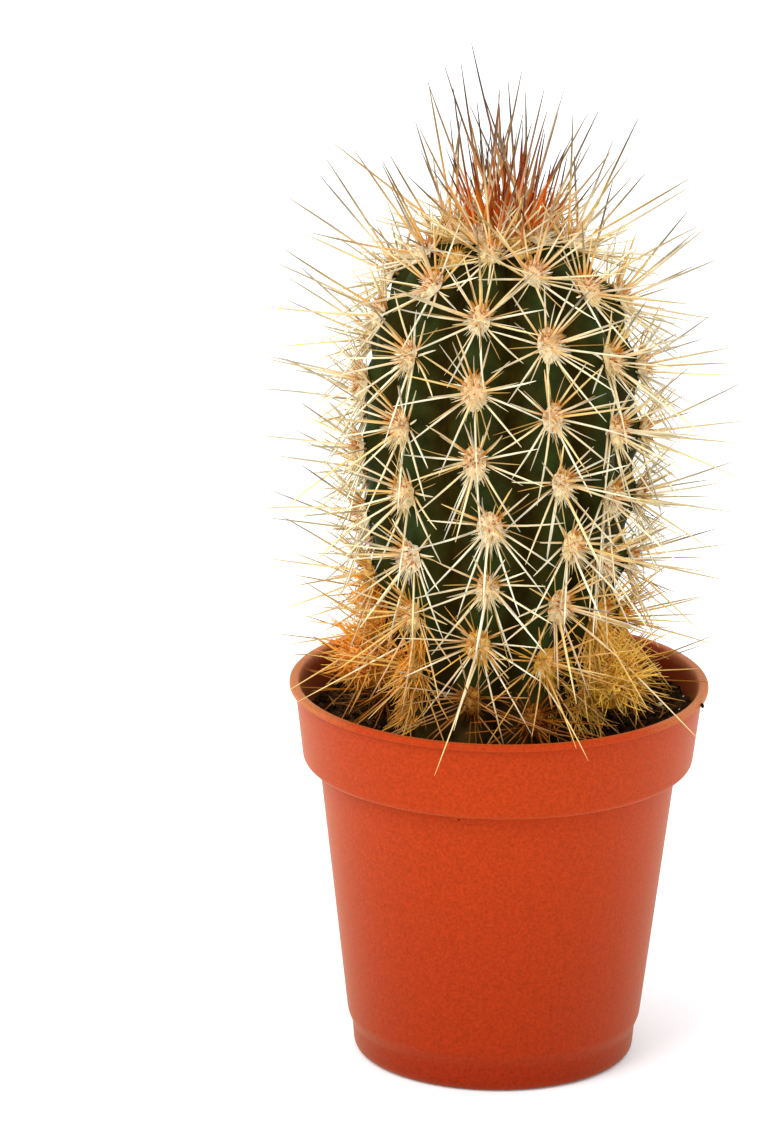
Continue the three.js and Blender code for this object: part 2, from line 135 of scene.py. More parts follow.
# Spines
RADIALS = 12
RADIAL_SCATTER = 16
RADIAL_LIFTS = (36, 24)
RADIAL_UP_LENGTH = 7.0
RADIAL_DOWN_LENGTH = 10.2
LOW_EXTRA_LENGTH = 0.35
LOW_FROM_Z = 66
CENTRAL_TURNS = [0, 64, 296, 180]
CENTRAL_SCATTER = 40
CENTRAL_LIFTS = (46, 80)
CROWN_LIFT = 84
CENTRAL_OLD_LENGTH = 13.5
CENTRAL_YOUNG_LENGTH = 18.5
CROWN_LENGTH = 24.5
CROWN_REACH = 8.5
YOUNG_REACH = 30.0
ROOT_SPREAD = 1.45
SOIL_CLEARANCE = 0.9
BEND_TRIES = 40
BEND_STEP = 0.07
SHORTEN_AFTER = 14
SPINE_RADIUS = 0.157
SPINE_SUNK = 1.1
YOUNG_RADIALS = 3
BRISTLES = 11
BRISTLE_LIFTS = (14, 52)
LOW_BRISTLES = 9
TUFT_SPINES = 78
TUFT_REACH = 4.6
TUFT_LENGTHS = (5, 19)
TUFT_SHIFT_X = 0.7

# Heights between which, going down, long spines turn slim and pads turn paler, golden, and then brown, as
# spines turn darker and browner
CROWN_Z = (95, 105)
PALE_Z = (78, 92)
GOLDEN_Z = (58, 69)
NEAR_SOIL_Z = (51, 57)

# Long low spines that lean out over the rim, from root to tip
STRAYS = [
    ((-3.0, -15.8, 58.0), (-8.0, -32.3, 48.4)),
    ((5.4, -14.5, 55.6), (12.2, -31.0, 51.4)),
    ((14.0, -7.4, 58.0), (26.4, -18.6, 49.1)),
    ((-11.4, -10.6, 59.5), (-26.0, -14.2, 51.9)),
]

# One of them curls down over the rim: its tip's shift as a share of its length
CURLED_STRAY = 1
STRAY_CURL = (-0.035, 0.0, -0.06)
STRAY_THINNING = 0.85

# Offsets, the small shoots at the base
OFFSETS = [
    {"azimuth": -77, "out": 17.0, "z": 54.2, "radius": 3.5},
    {"azimuth": 60, "out": 16.6, "z": 53.2, "radius": 3.3},
]
OFFSET_RIBS = 7
OFFSET_ROWS = 3
OFFSET_SPINES = 8
OFFSET_FIBRES = 22
OFFSET_SPINE_LENGTH = 5.0
OFFSET_ROOT_SPREAD = 0.7
OFFSET_REDNESS = (0.95, 0.05)
OFFSET_GILDING = (9.5, 20.0)
HAY_DARKENING = 0.12

# Golden fibres that hang down the lowest part of a rib, as azimuth and height at the top and at the foot
COLUMNS = [
    {"top": (-43, 60.0), "foot": (-53, 48.5), "redness": 0.7},
    {"top": (-76, 66.0), "foot": (-78, 57.0), "redness": 0.9},
    {"top": (56, 63.0), "foot": (48, 49.0), "redness": 0.1},
]
COLUMN_FIBRES = 240
COLUMN_SPREAD = 4.5

# Single grains that can be told apart: soil on the lip and under the collar, and a pale grain
LIP_CRUMB = (26.5, -8.3, 50.5)
COLLAR_CRUMB = (-4.9, -22.85, 39.2)
PALE_GRAIN = (-17.7, 10.2, 46.8)

# Colours, linear RGB
POT_RED = (0.38, 0.030, 0.004)
# POT_LOW_SHADE is painted shade: the pot darkens towards its foot, standing in for the floor's shadow
POT_LOW_SHADE = (0.23, 0.012, 0.002)
# POT_LIP_SHEEN is a painted sheen: the lip's paler tone at its left and right ends, where light glances off
# it
POT_LIP_SHEEN = (0.46, 0.15, 0.045)
# POT_INSIDE_SHADE is painted shade: a darker red for the shade inside the pot's wall
POT_INSIDE_SHADE = (0.27, 0.014, 0.002)
SOIL_DARK = (0.012, 0.007, 0.003)
SOIL_BROWN = (0.065, 0.030, 0.012)
SOIL_TAN = (0.26, 0.16, 0.07)
PERLITE = (0.50, 0.47, 0.34)
IVORY = (0.98, 0.93, 0.70)
STRAW = (0.86, 0.66, 0.27)
GOLD = (0.80, 0.46, 0.06)
HAY = (0.95, 0.56, 0.045)
AMBER = (0.72, 0.21, 0.010)
ORANGE = (0.95, 0.29, 0.015)
RUST = (0.68, 0.075, 0.002)
BROWN = (0.24, 0.13, 0.03)
RED_BROWN = (0.22, 0.060, 0.014)
GREY_TIP = (0.31, 0.27, 0.24)
DARK_TIP = (0.060, 0.040, 0.036)
BLACK_TIP = (0.018, 0.010, 0.011)
FELT = (0.96, 0.88, 0.62)
FELT_PINK = (0.80, 0.51, 0.25)
FELT_GOLD = (0.74, 0.42, 0.05)
FELT_OLD = (0.36, 0.14, 0.02)
# The tone by which spines are darkened and browned near the soil
NEAR_SOIL_TINT = (0.38, 0.21, 0.09)
GREEN = (0.022, 0.034, 0.007)
# FURROW_SHADE is painted shade: the skin darkens to brown black down in the furrows between the ribs
FURROW_SHADE = (0.022, 0.013, 0.001)
CORK = (0.070, 0.034, 0.008)
WARM_GLOSS = (1.0, 0.78, 0.40, 1.0)
WARM_SHEEN = (1.0, 0.62, 0.15, 1.0)

# Camera: its target, distance, elevation and roll, and the target's place in the photograph
CAMERA_TARGET = Vector((0, 0, 60 * MM))
CAMERA_DISTANCE = 1.1
CAMERA_ELEVATION = 17.62
CAMERA_ROLL = 0.97
IMAGE_SIZE = (768, 1132)
FOCAL_PIXELS = 8407
TARGET_PIXEL = (500.93, 611.25)
SENSOR = 36.0

# Stage
FLOOR_WHITE = (0.92, 0.96, 0.98, 1)
FLOOR_GLOW = 0.08
KEY_PLACE = (-1.9, -2.1, 2.8)
KEY_POWER = 74.0
KEY_SIZE = 2.2
STUDIO_BRIGHTNESS = 1.25


# Small helpers


def outward(azimuth):
    turn = np.radians(azimuth)
    return np.stack([np.sin(turn), -np.cos(turn), np.zeros_like(turn)], -1)


def lerp(a, b, share):
    return a + (b - a) * share


def mix(a, b, share):
    return tuple(lerp(p, q, share) for p, q in zip(a, b))


def blend(colours, other, shares):
    """Like mix, with a share for each point."""
    return lerp(np.array(colours), np.array(other), shares[:, None])


def clamp(value):
    return min(max(value, 0.0), 1.0)


def smoothstep(value, low, high):
    share = np.clip((value - low) / (high - low), 0, 1)
    return share * share * (3 - 2 * share)


def unit(vectors):
    return vectors / np.linalg.norm(vectors, axis=-1, keepdims=True)


def make_draw(seed):
    """Draws of a small seeded generator, each from 0 to 1."""
    state = [seed]

    def draw():
        state[0] = (state[0] * 1664525 + 1013904223) & 0xFFFFFFFF
        return state[0] / 4294967296

    return draw


def speckle(points, scale, seed=0.0):
    """Smooth noise from -1 to 1 at each point, with features of about 1 / scale millimetres."""
    offset = Vector((seed, 2 * seed, -seed))
    return np.array([noise.noise(Vector(p) * scale + offset) for p in points])


def grid_faces(rows, columns):
    """Quads between closed rings of points."""
    faces = []
    for row in range(rows - 1):
        for column in range(columns):
            following = (column + 1) % columns
            low = row * columns
            high = low + columns
            faces.append((low + column, low + following, high + following, high + column))
    return faces


def set_tint(mesh, colours):
    rgba = np.ones((len(mesh.vertices), 4))
    rgba[:, :3] = colours
    tint = mesh.color_attributes.new(name="tint", type="FLOAT_COLOR", domain="POINT")
    tint.data.foreach_set("color", rgba.ravel())


def add_object(name, data):
    made = bpy.data.objects.new(name, data)
    bpy.context.scene.collection.objects.link(made)
    return made


def add_mesh(name, points, faces, material, slot=None, colours=None):
    """A smooth mesh object from points in millimetres, with an optional tint at each point."""
    mesh = bpy.data.meshes.new(name)
    mesh.from_pydata((np.asarray(points) * MM).tolist(), [], faces)
    if colours is not None:
        set_tint(mesh, colours)
    mesh.shade_smooth()
    mesh.materials.append(material)
    piece = add_object(name, mesh)
    if slot:
        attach(piece, "root")
    return piece


# Materials


def set_inputs(node, inputs):
    """Gives each input its value, or links it where the value is another node's output."""
    for name, value in inputs.items():
        if isinstance(value, bpy.types.NodeSocket):
            node.id_data.links.new(value, node.inputs[name])
        else:
            node.inputs[name].default_value = value


def add_node(tree, kind, output, inputs=None, **settings):
    """The named output of a new node."""
    made = tree.nodes.new(kind)
    for name, value in settings.items():
        setattr(made, name, value)
    set_inputs(made, inputs or {})
    return made.outputs[output]


def add_noise(tree, place, scale, detail):
    inputs = {"Vector": place, "Scale": scale, "Detail": detail}
    return add_node(tree, "ShaderNodeTexNoise", "Fac", inputs)


def new_material(name, inputs):
    material = bpy.data.materials.new(name)
    material.use_nodes = True
    set_inputs(material.node_tree.nodes["Principled BSDF"], inputs)
    return material


def tinted_material(name, roughness, specular=0.5, grain=(1500, 0.25), bump=(1200, 0.0), sheen=0.0):
    """A surface in the mesh's own tint, lightened and darkened by a grain, with a fine bump.

    grain is the noise's scale in 1/m and its strength; bump is a scale in 1/m and a depth in mm; sheen
    is the weight of a warm glow at grazing angles.
    """
    inputs = {
        "Roughness": roughness,
        "Specular IOR Level": specular,
        "Specular Tint": WARM_GLOSS,
        "Sheen Weight": sheen,
        "Sheen Tint": WARM_SHEEN,
    }
    material = new_material(name, inputs)
    tree = material.node_tree
    shader = tree.nodes["Principled BSDF"]
    place = add_node(tree, "ShaderNodeTexCoord", "Object")
    tint = add_node(tree, "ShaderNodeAttribute", "Color", attribute_name="tint")
    mottle = {"Value": add_noise(tree, place, grain[0], 4.0), "From Min": 0.3, "From Max": 0.7}
    strength = {"To Min": 1 - grain[1], "To Max": 1 + grain[1]}
    shade = add_node(tree, "ShaderNodeMapRange", "Result", {**mottle, **strength})
    scaled = {0: tint, "Scale": shade}
    colour = add_node(tree, "ShaderNodeVectorMath", "Vector", scaled, operation="SCALE")
    set_inputs(shader, {"Base Color": colour})
    if bump[1]:
        relief = {"Height": add_noise(tree, place, bump[0], 5.0), "Distance": bump[1] * MM}
        set_inputs(shader, {"Normal": add_node(tree, "ShaderNodeBump", "Normal", relief)})
    return material


# Pot


def rounded(corners, radii, steps=5):
    """The corners of an open outline with an arc-like curve of that radius at each inner corner."""
    points = [np.array(corners[0])]
    for before, corner, after, radius in zip(corners, corners[1:], corners[2:], radii):
        corner = np.array(corner)
        start = corner + unit(np.array(before) - corner) * radius
        end = corner + unit(np.array(after) - corner) * radius
        for share in np.linspace(0, 1, steps + 1):
            points.append(lerp(lerp(start, corner, share), lerp(corner, end, share), share))
    points.append(np.array(corners[-1]))
    return points


def pot_profile():
    """Radius and height round the pot's section, from the axis under the floor to the axis on it."""
    lip_low = POT_HEIGHT - LIP_HEIGHT
    throat = POT_HEIGHT - LIP_FLARE_HEIGHT
    corners = {
        (0.0, 0.0): 0,
        (FOOT_RADIUS - 0.3, 0.0): BASE_CORNER,
        (FOOT_RADIUS, FOOT_TOP_Z): 0.4,
        (BODY_LOW_RADIUS, BODY_LOW_Z): 0.4,
        (BODY_TOP_RADIUS, BODY_TOP_Z): 0.25,
        (COLLAR_LOW_RADIUS - 0.05, BODY_TOP_Z + 0.1): 0.8,
        (COLLAR_TOP_RADIUS, lip_low): 0.15,
        (RIM_RADIUS, lip_low + 0.05): 0.25,
        (RIM_RADIUS, POT_HEIGHT): 0.35,
        (COLLAR_TOP_RADIUS - 0.45, POT_HEIGHT): 0.35,
        (COLLAR_TOP_RADIUS - WALL, throat): 0.4,
        (COLLAR_LOW_RADIUS - WALL, COLLAR_LOW_Z + LEDGE_RISE): 0.5,
        (BODY_TOP_RADIUS - WALL, BODY_TOP_Z + LEDGE_RISE): 0.4,
        (BODY_LOW_RADIUS - WALL, BODY_LOW_Z): 0.3,
        (FOOT_RADIUS - WALL, FOOT_TOP_Z): 0.3,
        (FOOT_RADIUS - WALL - FLOOR_BEVEL, FLOOR_TOP_Z): 0.4,
        (0.0, FLOOR_TOP_Z): 0,
    }
    return rounded(list(corners), list(corners.values())[1:-1])


def pot_inside(z):
    """The pot's inner radius at a height."""
    walls = {
        FLOOR_TOP_Z: FOOT_RADIUS - FLOOR_BEVEL,
        FOOT_TOP_Z: FOOT_RADIUS,
        BODY_LOW_Z: BODY_LOW_RADIUS,
        BODY_TOP_Z + LEDGE_RISE: BODY_TOP_RADIUS,
        COLLAR_LOW_Z + LEDGE_RISE: COLLAR_LOW_RADIUS,
        POT_HEIGHT - LIP_FLARE_HEIGHT: COLLAR_TOP_RADIUS,
    }
    return np.interp(z, list(walls), list(walls.values())) - WALL


def turned(name, profile, sides, material):
    """A closed body turned from a profile that starts and ends on the axis."""
    angles = np.arange(sides) * 360 / sides
    rings = [outward(angles) * radius + UP * z for radius, z in profile[1:-1]]
    points = np.concatenate([*rings, [[0, 0, profile[0][1]]], [[0, 0, profile[-1][1]]]])
    faces = grid_faces(len(rings), sides)
    low_pole = len(rings) * sides
    last_ring = low_pole - sides
    for column in range(sides):
        following = (column + 1) % sides
        faces.append((low_pole, following, column))
        faces.append((low_pole + 1, last_ring + column, last_ring + following))
    return add_mesh(name, points, faces, material)


def cut_drain_holes(pot, material):
    """The pot's mesh with its drain holes cut through the floor."""
    for number in range(DRAIN_HOLES):
        place = outward(360 * (number + 0.5) / DRAIN_HOLES) * DRAIN_HOLE_CIRCLE
        profile = [(0, -3), (DRAIN_HOLE_RADIUS, -3), (DRAIN_HOLE_RADIUS, 3), (0, 3)]
        cutter = turned("drain_cutter", profile, 32, material)
        cutter.location = place * MM
        cut = pot.modifiers.new("drain", "BOOLEAN")
        cut.operation = "DIFFERENCE"
        cut.object = cutter
        bpy.context.view_layer.update()
        graph = bpy.context.evaluated_depsgraph_get()
        pot.data = bpy.data.meshes.new_from_object(pot.evaluated_get(graph))
        pot.modifiers.clear()
        bpy.data.objects.remove(cutter)


def pot_tints(points):
    """Orange red, with painted shade low down and inside, a paler painted sheen on the lip at both sides,
    and smudged with soil inside.
    """
    radius = np.hypot(points[:, 0], points[:, 1])
    z = points[:, 2]
    inside = ((radius < pot_inside(z) + 0.35 * WALL) & (z > FLOOR_TOP_Z - 0.1)).astype(float)
    lip = smoothstep(z, POT_HEIGHT - 1.0, POT_HEIGHT - 0.2)
    # Painted shade: darker towards the foot, standing in for the shadow near the floor
    low = 1 - smoothstep(z, 0, 13)
    smudge = inside * (1 - smoothstep(z + 1.2 * speckle(points, 0.5), SOIL_Z + 0.5, SOIL_Z + 3.5))
    colours = blend(POT_RED, POT_LOW_SHADE, low)
    # Painted shade: the inner wall is darker, for the shade that falls inside the pot
    colours = blend(colours, POT_INSIDE_SHADE, inside * (1 - lip))
    # Painted sheen: the lip turns paler towards its left and right ends, a painted highlight of light
    # glancing off its sides
    lip_sheen = lip * smoothstep(np.abs(points[:, 0]), 17, 26)
    colours = blend(colours, POT_RED, lip)
    colours = blend(colours, POT_LIP_SHEEN, 0.8 * lip_sheen)
    return blend(colours, SOIL_BROWN, 0.7 * smudge)


def make_pot():
    material = tinted_material("pot plastic", 0.45, 0.09, (2600, 0.2), (3200, 0.02), sheen=0.16)
    pot = turned("pot_body", pot_profile(), POT_SIDES, material)
    cut_drain_holes(pot, material)
    points = np.array([v.co for v in pot.data.vertices]) / MM
    set_tint(pot.data, pot_tints(points))
    pot.data.shade_smooth()
    pot.data.set_sharp_from_angle(angle=radians(40))
    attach(pot, "root")
    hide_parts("pot")


# Soil


def soil_top(x, y):
    hummocks = np.sin(0.55 * x + 1) * np.cos(0.47 * y) + 0.6 * np.sin(0.9 * y - 0.3 * x)
    bank = np.clip((x - 14) / 11, 0, 1)
    return SOIL_Z + SOIL_RELIEF * hummocks + SOIL_BANK * bank


def soil_colour(shade):
    """Dark peat with browner grains and a few pale ones; shade runs from 0 to 1."""
    if shade > PERLITE_FROM:
        return PERLITE
    if shade > TAN_FROM:
        return SOIL_TAN
    return mix(SOIL_DARK, SOIL_BROWN, (shade / TAN_FROM) ** 2)


def make_soil(material):
    """A body that fills the pot, open only at the plain hole for the root, with a rough crumbly top."""
    angles = np.arange(SOIL_SIDES) * 360 / SOIL_SIDES
    directions = outward(angles)
    low_z = FLOOR_TOP_Z + GAP
    inner = STEM_SOIL_RADIUS - 0.6
    outer = pot_inside(SOIL_Z) - 0.05
    rings = [directions * 0.5 + UP * low_z]
    for z in (low_z, FOOT_TOP_Z, BODY_LOW_Z, BODY_TOP_Z + LEDGE_RISE + GAP, COLLAR_LOW_Z + LEDGE_RISE + GAP):
        rings.append(directions * (pot_inside(z - GAP) - GAP) + UP * z)
    for share in np.linspace(0, 1, SOIL_RINGS):
        points = directions * lerp(outer, inner, share)
        points[:, 0] += STEM_LEAN_X * share
        clumps = 0.45 * speckle(points, 0.7, 3.0) + 0.22 * speckle(points, 1.9, 7.0)
        points[:, 2] = soil_top(points[:, 0], points[:, 1]) + clumps
        rings.append(points)
    rings.append(directions * inner + np.array([STEM_LEAN_X, 0, STEM_LOW_Z]))
    points = np.concatenate(rings)
    shades = np.clip(0.5 + 0.9 * speckle(points, 1.3, 11.0), 0, 0.96)
    colours = np.array([soil_colour(shade) for shade in shades])
    soil = add_mesh("soil_body", points, grid_faces(len(rings), SOIL_SIDES), material, "soil", colours)
    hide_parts("soil")


def icosahedron():
    """The corners of an icosahedron of radius 1, and its faces with their corners turning outwards."""
    golden = (1 + 5 ** 0.5) / 2
    around = [(0, i, j * golden) for i in (-1, 1) for j in (-1, 1)]
    corners = unit(np.array([np.roll(corner, turn) for turn in range(3) for corner in around], float))
    faces = []
    for face in itertools.combinations(range(12), 3):
        a, b, c = corners[list(face)]
        if max(np.linalg.norm(a - b), np.linalg.norm(b - c), np.linalg.norm(c - a)) < 1.1:
            outwards = np.dot(np.cross(b - a, c - a), a) > 0
            faces.append(face if outwards else face[::-1])
    return corners, faces


def crumb_places(draws):
    """Where each crumb lies, its size and its colour."""
    low, high = STEM_SOIL_RADIUS - 0.3, pot_inside(SOIL_Z) - 0.5
    found = [
        (np.array(LIP_CRUMB), 0.4, SOIL_DARK),
        (np.array(COLLAR_CRUMB), 0.18, SOIL_DARK),
        (np.array(PALE_GRAIN), 0.75, PERLITE),
    ]
    for _ in range(CRUMBS):
        radius = sqrt(draws.uniform(low ** 2, high ** 2))
        place = outward(draws.uniform(0, 360)) * radius
        size = 0.14 + 0.62 * draws.random() ** 3
        place[2] = soil_top(place[0], place[1]) + 0.25 * size
        found.append((place, size, soil_colour(draws.random())))
    return found


def add_crumbs(material):
    """Grains and small clods on the soil."""
    ball, ball_faces = icosahedron()
    draws = default_rng(5)
    points, faces, colours = [], [], []
    for place, size, colour in crumb_places(draws):
        start = len(points) * len(ball)
        shape = ball * draws.uniform(0.6, 1.15, (len(ball), 1)) * draws.uniform(0.7, 1.25, 3)
        points.append(shape * size + place)
        faces += [tuple(start + corner for corner in face) for face in ball_faces]
        colours.append(np.tile(colour, (len(ball), 1)))
    add_mesh("soil_crumbs", np.concatenate(points), faces, material, "soil", np.concatenate(colours))


# Stem


def make_meridian():
    """The outline of the rib crests, from the tip down: radius, height and distance along the skin."""
    turn = np.radians(np.linspace(0, 90, 81))
    radius = list(STEM_WIDE_RADIUS * np.sin(turn) ** (2 / DOME_POWER))
    height = list(STEM_WIDE_Z + (STEM_TOP_Z - STEM_WIDE_Z) * np.cos(turn) ** (2 / DOME_POWER))
    for z in np.arange(STEM_WIDE_Z - 0.5, STEM_LOW_Z, -0.5):
        radius.append(lerp(STEM_SOIL_RADIUS, STEM_WIDE_RADIUS, smoothstep(z, SOIL_Z, STEM_WIDE_Z)))
        height.append(z)
    radius, height = np.array(radius), np.array(height)
    steps = np.hypot(np.diff(radius), np.diff(height))
    return radius, height, np.concatenate([[0], np.cumsum(steps)])


CREST_RADIUS, CREST_Z, CREST_S = make_meridian()


def crest_at(s):
    """Radius, height, outward and upward slope of the crest outline at distances s from the tip."""
    high = np.clip(np.searchsorted(CREST_S, s), 1, len(CREST_S) - 1)
    step = CREST_S[high] - CREST_S[high - 1]
    share = (s - CREST_S[high - 1]) / step
    radius = lerp(CREST_RADIUS[high - 1], CREST_RADIUS[high], share)
    z = lerp(CREST_Z[high - 1], CREST_Z[high], share)
    out_slope = (CREST_Z[high - 1] - CREST_Z[high]) / step
    up_slope = (CREST_RADIUS[high] - CREST_RADIUS[high - 1]) / step
    return radius, z, out_slope, up_slope


def crest_azimuth(rib, z):
    """The ribs sway to one side about half way up, each by its own amount."""
    upper = smoothstep(SWAY_TOP_Z - z, 0, SWAY_TOP_Z - SWAY_PEAK_Z)
    lower = np.maximum((z - SWAY_ZERO_Z) / (SWAY_PEAK_Z - SWAY_ZERO_Z), -0.4)
    sway = np.where(z >= SWAY_PEAK_Z, upper, lower)
    return FIRST_RIB_AZIMUTH + 360 * rib / RIBS + RIB_SWAY[rib % RIBS] * sway


def rib_start(rib):
    return ((SPIRAL_STEP * rib) % RIBS) / RIBS


def areole_count(rib, s):
    """The number of an areole on its rib, as a real number that is whole at each areole."""
    root = np.maximum(AREOLE_PITCH ** 2 - 4 * AREOLE_CLOSING * (s - AREOLE_FIRST), 0)
    return (AREOLE_PITCH - np.sqrt(root)) / (2 * AREOLE_CLOSING) - rib_start(rib)


def areole_distance(rib, number):
    count = number + rib_start(rib)
    return AREOLE_FIRST + AREOLE_PITCH * count - AREOLE_CLOSING * count * count


def skin_points(rib, share, s):
    """Points of the skin; share runs from 0 at the crest of a rib to 1 at the crest of the next."""
    radius, z, out_slope, up_slope = crest_at(s)
    azimuth = lerp(crest_azimuth(rib, z), crest_azimuth(rib + 1, z), share)
    from_crest = 1 - np.abs(1 - 2 * share)
    buried = np.clip((z - SOIL_Z + RIB_FADE_DEPTH) / RIB_FADE_DEPTH, 0, 1)
    depth = FURROW_DEPTH * np.minimum(1, radius / 14) * buried
    nearest = np.where(share > 0.5, rib + 1, rib) % RIBS
    wave = 0.5 + 0.5 * np.cos(2 * np.pi * areole_count(nearest, s))
    bare = np.clip((z - SOIL_Z - 0.5) / 3, 0, 1)
    bulge = TUBERCLE_HEIGHT * (wave - 0.5) * (1 - from_crest) * np.minimum(1, radius / 10) * bare
    inward = depth * from_crest ** FURROW_POWER - bulge
    points = outward(azimuth) * (radius - inward * out_slope)[..., None]
    points[..., 0] += STEM_LEAN_X
    points[..., 2] = z - inward * up_slope
    return points


def make_stem():
    columns = RIBS * COLUMNS_PER_RIB
    s = np.linspace(CREST_S[-1], 0.25, STEM_ROWS)[:, None] * np.ones((1, columns))
    rib = np.tile(np.repeat(np.arange(RIBS), COLUMNS_PER_RIB), (STEM_ROWS, 1))
    share = np.tile(np.tile(np.arange(COLUMNS_PER_RIB) / COLUMNS_PER_RIB, RIBS), (STEM_ROWS, 1))
    points = skin_points(rib, share, s).reshape(-1, 3)
    from_crest = (1 - np.abs(1 - 2 * share)).ravel()
    fine = speckle(points, 0.35, 2.0)
    away = unit(points - np.array([STEM_LEAN_X, 0, STEM_MIDDLE_Z]))
    points = points + away * (0.07 * fine * (1 - from_crest))[:, None]
    # Painted shade: the skin darkens from each crest down into the furrows, to a brown black
    shade = np.clip((1 - from_crest) ** 1.2 * (1.1 + 0.8 * speckle(points, 0.35, 5.0)), 0, 1)
    colours = blend(FURROW_SHADE, GREEN, shade)
    corky = 1 - smoothstep(points[:, 2] + 3 * speckle(points, 0.25, 9.0), 47, 57)
    colours = blend(colours, CORK, 0.85 * corky * (0.4 + 0.6 * shade))
    points = np.concatenate([points, [[STEM_LEAN_X, 0, STEM_TOP_Z - 0.05]]])
    colours = np.concatenate([colours, [GREEN]])
    faces = grid_faces(STEM_ROWS, columns)
    top = STEM_ROWS * columns
    faces += [(top, top - columns + i, top - columns + (i + 1) % columns) for i in range(columns)]
    skin = tinted_material("cactus skin", 0.55, 0.05, (420, 0.4), (1500, 0.05))
    stem = add_mesh("cactus_stem", points, faces, skin, "cactus", colours)
    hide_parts("cactus")
    return skin


def skin_at(azimuth, z):
    """The point of the skin at an azimuth and a height."""
    rib, share = divmod((azimuth - FIRST_RIB_AZIMUTH) * RIBS / 360, 1)
    s = np.interp(-z, -CREST_Z, CREST_S)
    return skin_points(np.array(int(rib)), np.array(share), s)


def areole_at(rib, s, seed):
    """An areole on a rib: its place, the skin's normal, the way up along the rib and its seed."""
    _, z, out_slope, up_slope = crest_at(s)
    out = outward(crest_azimuth(rib, z))
    return {
        "place": skin_points(np.array(rib), np.array(0.0), np.array(s)),
        "normal": out * out_slope + UP * up_slope,
        "up": UP * out_slope - out * up_slope,
        "s": s,
        "seed": seed,
    }


def stem_areoles():
    """The full-grown areoles, from the tip of each rib to the soil."""
    found = []
    for rib in range(RIBS):
        for number in range(-1, 12):
            s = float(areole_distance(rib, number))
            if s < CROWN_CLEAR or crest_at(s)[1] < LAST_AREOLE_Z:
                continue
            found.append(areole_at(rib, s, 1000 + 37 * rib + 101 * (number + 2)))
    return found


# Spines

Spine = namedtuple("Spine", "root direction length radius bend stops dust tip_from")


def fanned(areole, turn, lift):
    """A direction: turn goes round from up, and lift rises from the skin to the normal, in degrees."""
    side = np.cross(areole["up"], areole["normal"])
    turn, lift = radians(turn), radians(lift)
    along_skin = areole["up"] * cos(turn) + side * sin(turn)
    return along_skin * cos(lift) + areole["normal"] * sin(lift)


def new_spine(root, direction, length, radius, stops, draws, bend=0.04, darkening=1.0, tip_from=0.3):
    """One spine: stops are its colours at the base, the middle and the tip, which sets in at tip_from."""
    sideways = unit(np.cross(direction, draws.normal(0, 1, 3)))
    return Spine(root, direction, length, radius, sideways * draws.normal(0, bend), stops, darkening, tip_from)


def blocked(point):
    """Whether a point comes too near the soil or the pot's wall."""
    radius = hypot(point[0], point[1])
    if radius > RIM_RADIUS + SOIL_CLEARANCE:
        return False
    if radius > pot_inside(POT_HEIGHT) - SOIL_CLEARANCE:
        return point[2] < POT_HEIGHT + 0.7 * SOIL_CLEARANCE
    return point[2] < soil_top(point[0], point[1]) + SOIL_CLEARANCE


def cleared(spine):
    """The same spine, bent upwards and at last shortened until it is clear of soil and pot."""
    direction, length = spine.direction, spine.length
    for attempt in range(BEND_TRIES):
        marks = (0.35, 0.5, 0.65, 0.8, 0.9, 1)
        if not any(blocked(spine.root + direction * length * mark) for mark in marks):
            return spine._replace(direction=direction, length=length)
        direction = unit(direction + BEND_STEP * UP)
        if attempt > SHORTEN_AFTER:
            length *= 0.93
    return None


def downness(turn):
    """0 for a spine that points up along the rib, 1 for one that points down."""
    return (1 - cos(radians(turn))) / 2


def gilding(place):
    """How golden a pad and its spines are: 1 beside an offset, 0 far from both."""
    nearest = min(np.linalg.norm(place - offset_centre(offset)) for offset in OFFSETS)
    return 1 - float(smoothstep(nearest, *OFFSET_GILDING))


def radial_stops(turn, age, draws):
    """Ivory, warmer towards the top of the pad and on young pads, browner on the lowest."""
    warmth = draws.random()
    up = 1 - downness(turn)
    pale = mix(IVORY, STRAW, 0.85 * draws.random() ** 1.8)
    golden = 0.85 * warmth * up ** 1.5 + 0.3 * age["young"] * warmth + 0.55 * age["crown"]
    middle = mix(pale, GOLD, clamp(golden))
    middle = mix(middle, GOLD, 0.85 * age["gilded"])
    middle = mix(middle, AMBER, 0.5 * max(age["low"], age["gilded"]) * warmth)
    base = mix(middle, AMBER, clamp(0.15 + up * warmth + 0.4 * age["crown"]))
    tip = mix(middle, GREY_TIP, 0.65 * draws.random() * (1 - age["low"]))
    return base, middle, tip


def central_stops(turn, age, draws):
    """Golden with an amber base and a grey tip, or ivory if it points down; rust and black at the top."""
    warmth = draws.random()
    pale = downness(turn) * (1 - age["young"])
    middle = mix(mix(IVORY, STRAW, draws.random()), GOLD, (0.2 + 0.5 * warmth) * (1 - pale))
    middle = mix(middle, AMBER, clamp(0.35 * age["young"] * warmth + 0.5 * age["low"] * warmth))
    middle = mix(mix(middle, GOLD, 0.7 * age["gilded"]), RUST, 0.6 * age["crown"])
    base = mix(middle, AMBER, 0.45 + 0.4 * age["young"])
    base = mix(base, RUST, 0.5 * age["crown"])
    tip = mix(GREY_TIP, mix(DARK_TIP, BLACK_TIP, draws.random()), clamp(0.3 + 1.2 * age["young"]))
    greyed = (0.7 + 0.3 * draws.random()) * (1 - pale) * (1 - 0.6 * age["low"])
    return base, middle, mix(middle, tip, greyed)


